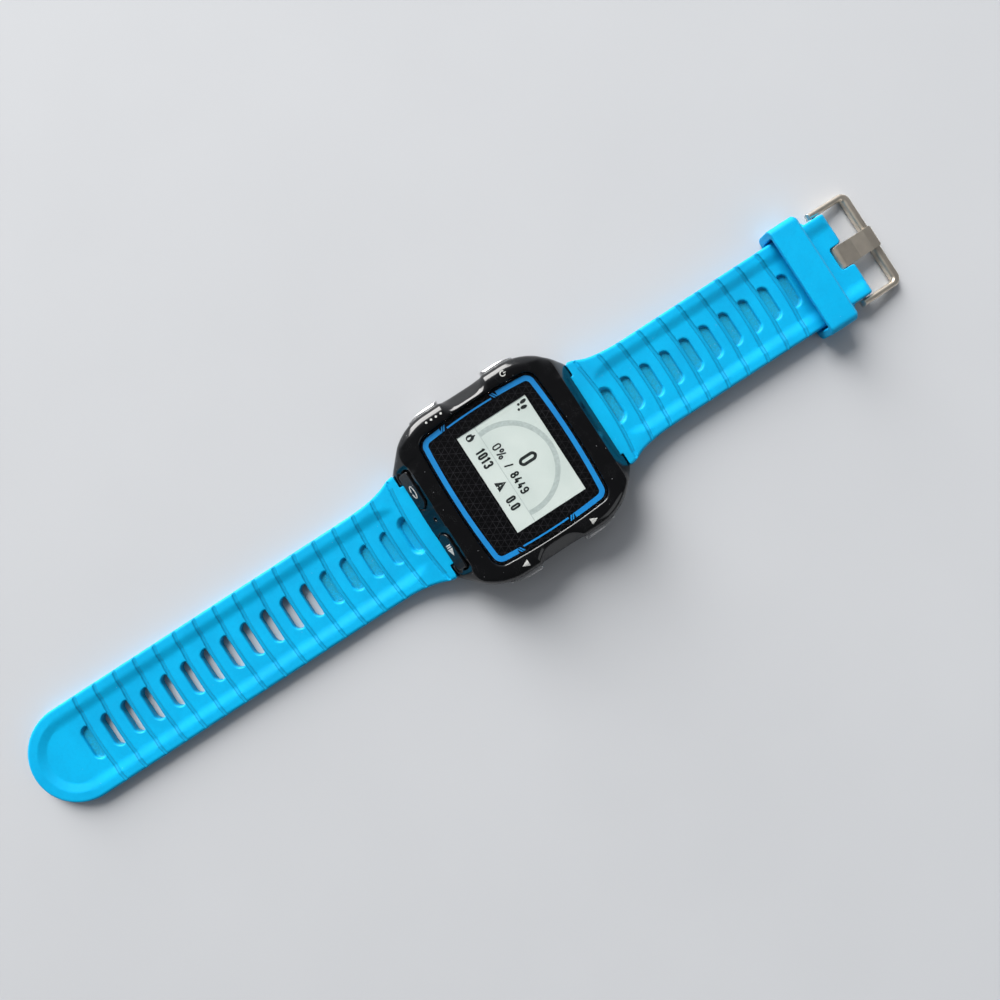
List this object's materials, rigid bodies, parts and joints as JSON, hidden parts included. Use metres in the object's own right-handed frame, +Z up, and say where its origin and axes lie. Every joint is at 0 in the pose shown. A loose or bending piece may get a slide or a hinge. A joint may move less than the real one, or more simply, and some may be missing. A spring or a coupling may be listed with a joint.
{
  "type": "gps sports watch",
  "caption": "Rectangular GPS sports wristwatch with reflective display, press buttons, pinned rubber strap halves, keeper and tang buckle.",
  "frame": {"origin": "centre of the round boss on the case back, in the plane that rests on the wrist or on a table", "axes": "+X towards 3 o'clock, +Y towards 12 o'clock and the buckle half of the strap, +Z up through the lens"},
  "size_m": [0.0516, 0.2673, 0.0127],
  "materials": {
    "case_gloss": "gloss black moulded polycarbonate",
    "rear_matte": "fine-textured dark moulding",
    "strap_rubber": "satin cyan-blue moulded elastomer",
    "buckle_steel": "satin stainless steel",
    "button_black": "gloss black moulded cap",
    "button_metal": "dark plated cap with bright ribs",
    "pin_steel": "turned stainless steel",
    "screw_steel": "dark passivated steel",
    "lens_glass": "clear, lightly scratched mineral glass",
    "mask_ink": "black print with a fine lattice",
    "accent_ink": "blue print",
    "lcd": "reflective liquid crystal, pale grey green",
    "light_guide": "white light guide",
    "flex_film": "amber polyimide film",
    "frame_plastic": "glass-filled moulding",
    "board": "solder-masked laminate",
    "chip_black": "moulded chip packages",
    "shield_tin": "tin-plated steel",
    "ceramic_white": "fired dielectric ceramic",
    "cell_foil": "laminated foil pouch",
    "motor_steel": "deep-drawn can",
    "buzzer_brass": "brass disc",
    "seal_rubber": "black silicone",
    "adhesive_black": "black foam adhesive",
    "membrane_white": "expanded fluoropolymer membrane",
    "contact_gold": "gold-plated pins",
    "sensor_metal": "lidded sensor package"
  },
  "bodies": {
    "case": {"front_case": "case_gloss", "rear_cover": "rear_matte", "case_gasket": "seal_rubber", "case_screws": "screw_steel", "lens": "lens_glass", "lens_adhesive": "adhesive_black", "lens_mask_print": "mask_ink", "lens_accent_print": "accent_ink", "display_panel": "lcd", "display_backlight": "light_guide", "display_flex": "flex_film", "mid_frame": "frame_plastic", "main_board": "board", "board_components": "chip_black", "processor_shield": "shield_tin", "gps_antenna": "ceramic_white", "radio_antenna": "ceramic_white", "battery": "cell_foil", "battery_tab": "board", "vibration_motor": "motor_steel", "buzzer_disc": "buzzer_brass", "pressure_sensor": "sensor_metal", "port_membrane": "membrane_white", "tact_switches": "chip_black", "switch_brackets": "shield_tin", "charging_contacts": "contact_gold", "contact_carrier": "frame_plastic", "strap_pin_top": "pin_steel", "strap_pin_bottom": "pin_steel", "pin_screws_top": "pin_steel", "pin_screws_bottom": "pin_steel", "power_button_seal": "seal_rubber", "mode_button_seal": "seal_rubber", "up_button_seal": "seal_rubber", "down_button_seal": "seal_rubber", "back_button_seal": "seal_rubber", "enter_button_seal": "seal_rubber"},
    "power_button": {"power_button": "button_metal", "power_button_clip": "pin_steel"},
    "mode_button": {"mode_button": "button_metal", "mode_button_clip": "pin_steel"},
    "up_button": {"up_button": "button_metal", "up_button_clip": "pin_steel"},
    "down_button": {"down_button": "button_metal", "down_button_clip": "pin_steel"},
    "back_button": {"back_button": "button_black", "back_button_clip": "pin_steel"},
    "enter_button": {"enter_button": "button_black", "enter_button_clip": "pin_steel"},
    "strap_long": {"strap_long": "strap_rubber"},
    "strap_short": {"strap_short": "strap_rubber"},
    "keeper": {"strap_keeper": "strap_rubber"},
    "buckle": {"buckle_frame": "buckle_steel", "spring_bar_tube": "pin_steel", "spring_bar_tips": "pin_steel"},
    "tang": {"buckle_tang": "buckle_steel"}
  },
  "joints": [
    {"name": "power_button_press", "type": "slide", "parent": "case", "child": "power_button", "axis": [1, 0, 0], "range_m": [0, 0.0006], "stiffness_N_per_m": 1200},
    {"name": "mode_button_press", "type": "slide", "parent": "case", "child": "mode_button", "axis": [1, 0, 0], "range_m": [0, 0.0006], "stiffness_N_per_m": 1200},
    {"name": "up_button_press", "type": "slide", "parent": "case", "child": "up_button", "axis": [-1, 0, 0], "range_m": [0, 0.0006], "stiffness_N_per_m": 1200},
    {"name": "down_button_press", "type": "slide", "parent": "case", "child": "down_button", "axis": [-1, 0, 0], "range_m": [0, 0.0006], "stiffness_N_per_m": 1200},
    {"name": "back_button_press", "type": "slide", "parent": "case", "child": "back_button", "axis": [0, 0.7345, -0.6786], "range_m": [0, 0.0006], "stiffness_N_per_m": 1200},
    {"name": "enter_button_press", "type": "slide", "parent": "case", "child": "enter_button", "axis": [0, 0.7345, -0.6786], "range_m": [0, 0.0006], "stiffness_N_per_m": 1200},
    {"name": "strap_long_hinge", "type": "hinge", "parent": "case", "child": "strap_long", "pos_m": [0, -0.024, 0.0044], "axis": [1, 0, 0], "range_deg": [-8, 54]},
    {"name": "strap_short_hinge", "type": "hinge", "parent": "case", "child": "strap_short", "pos_m": [0, 0.024, 0.0044], "axis": [-1, 0, 0], "range_deg": [-8, 54]},
    {"name": "keeper_slide", "type": "slide", "parent": "strap_short", "child": "keeper", "axis": [0, -1, 0], "range_m": [0, 0.034]},
    {"name": "buckle_hinge", "type": "hinge", "parent": "strap_short", "child": "buckle", "pos_m": [0, 0.104, 0.003], "axis": [1, 0, 0], "range_deg": [-30, 40]},
    {"name": "tang_hinge", "type": "hinge", "parent": "buckle", "child": "tang", "pos_m": [0, 0.104, 0.003], "axis": [1, 0, 0], "range_deg": [0, 60]}
  ]
}
